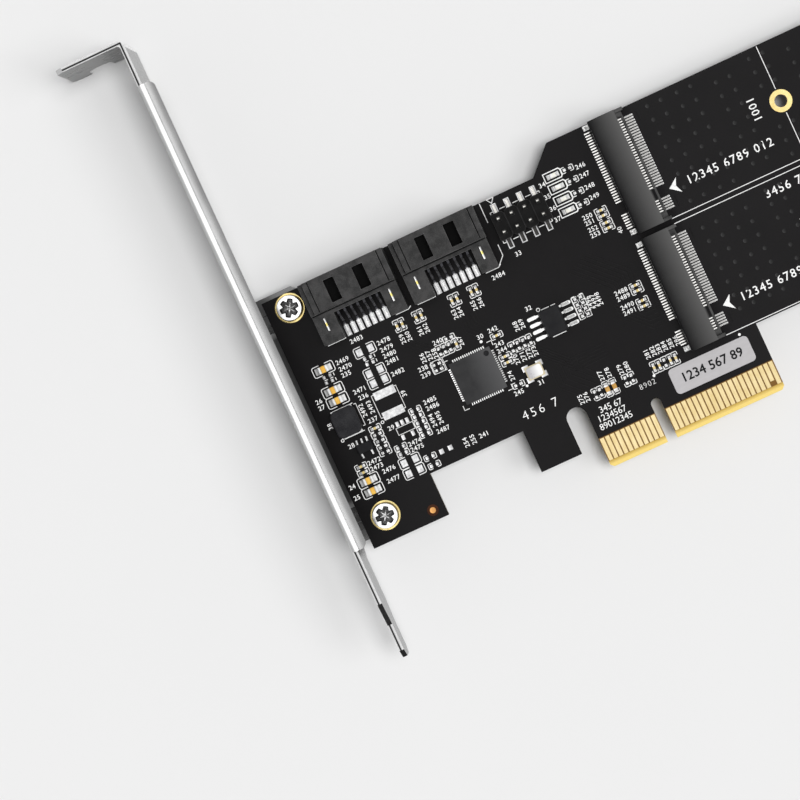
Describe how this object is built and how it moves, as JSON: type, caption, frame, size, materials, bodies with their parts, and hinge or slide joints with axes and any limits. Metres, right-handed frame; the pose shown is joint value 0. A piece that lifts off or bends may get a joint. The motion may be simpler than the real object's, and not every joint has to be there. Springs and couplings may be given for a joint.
{
  "type": "sata controller card",
  "caption": "Expansion card with a folded slot bracket, drive ports along its upper edge, sockets and holes for solid-state drives, and a gold edge connector.",
  "frame": {"origin": "where the centre line of the edge connector's key notch meets the card's lower edge, in the board's middle plane", "axes": "+X along the card, away from the bracket; +Y from the edge connector towards the drive ports; +Z out of the component side"},
  "size_m": [0.1674, 0.12, 0.0218],
  "materials": {
    "board_mask": "black solder mask on glass-fibre laminate",
    "gold_plate": "thin gold plate, satin",
    "bracket_steel": "bright nickel-plated sheet steel",
    "screw_steel": "bright nickel plate",
    "header_plastic": "black moulded plastic",
    "post_metal": "pale gold flash",
    "chip_plastic": "dark grey moulding compound",
    "tinned_metal": "matt tin and solder",
    "inductor_ferrite": "dark grey pressed powder",
    "crystal_ceramic": "beige fired ceramic",
    "crystal_lid": "pale metal",
    "light_base": "white",
    "light_lens": "clear moulded lens",
    "capacitor_ceramic": "tan fired ceramic",
    "resistor_film": "black glaze",
    "port_plastic": "charcoal moulded plastic",
    "socket_plastic": "black moulded plastic",
    "contact_metal": "bright tinned contact strip",
    "print_ink": "white printed ink",
    "label_film": "pale bare label film"
  },
  "bodies": {
    "root": {"circuit_board": "board_mask", "edge_contacts_front": "gold_plate", "edge_contacts_rear": "gold_plate", "slot_bracket": "bracket_steel", "board_screws": "screw_steel", "screw_rims": "gold_plate", "drive_hole_rims": "gold_plate", "header_base": "header_plastic", "header_posts": "post_metal", "controller_chip": "chip_plastic", "memory_chip": "chip_plastic", "memory_leads": "tinned_metal", "regulator_chip": "chip_plastic", "regulator_leads": "tinned_metal", "inductor_body": "inductor_ferrite", "inductor_terminals": "tinned_metal", "crystal_base": "crystal_ceramic", "crystal_lid": "crystal_lid", "light_bases": "light_base", "light_lenses": "light_lens", "light_terminals": "tinned_metal", "large_capacitors": "capacitor_ceramic", "large_capacitor_ends": "tinned_metal", "middle_capacitors": "capacitor_ceramic", "middle_capacitor_ends": "tinned_metal", "small_capacitors": "capacitor_ceramic", "resistors": "resistor_film", "part_pads": "tinned_metal", "empty_pads": "tinned_metal", "alignment_mark": "gold_plate", "drive_port_housing_1": "port_plastic", "drive_port_contacts_1": "tinned_metal", "drive_port_locks_1": "tinned_metal", "ssd_socket_housing_1": "socket_plastic", "ssd_socket_upper_contacts_1": "contact_metal", "ssd_socket_lower_contacts_1": "contact_metal", "ssd_socket_clamps_1": "tinned_metal", "drive_port_housing_2": "port_plastic", "drive_port_contacts_2": "tinned_metal", "drive_port_locks_2": "tinned_metal", "ssd_socket_housing_2": "socket_plastic", "ssd_socket_upper_contacts_2": "contact_metal", "ssd_socket_lower_contacts_2": "contact_metal", "ssd_socket_clamps_2": "tinned_metal"}
  },
  "joints": []
}
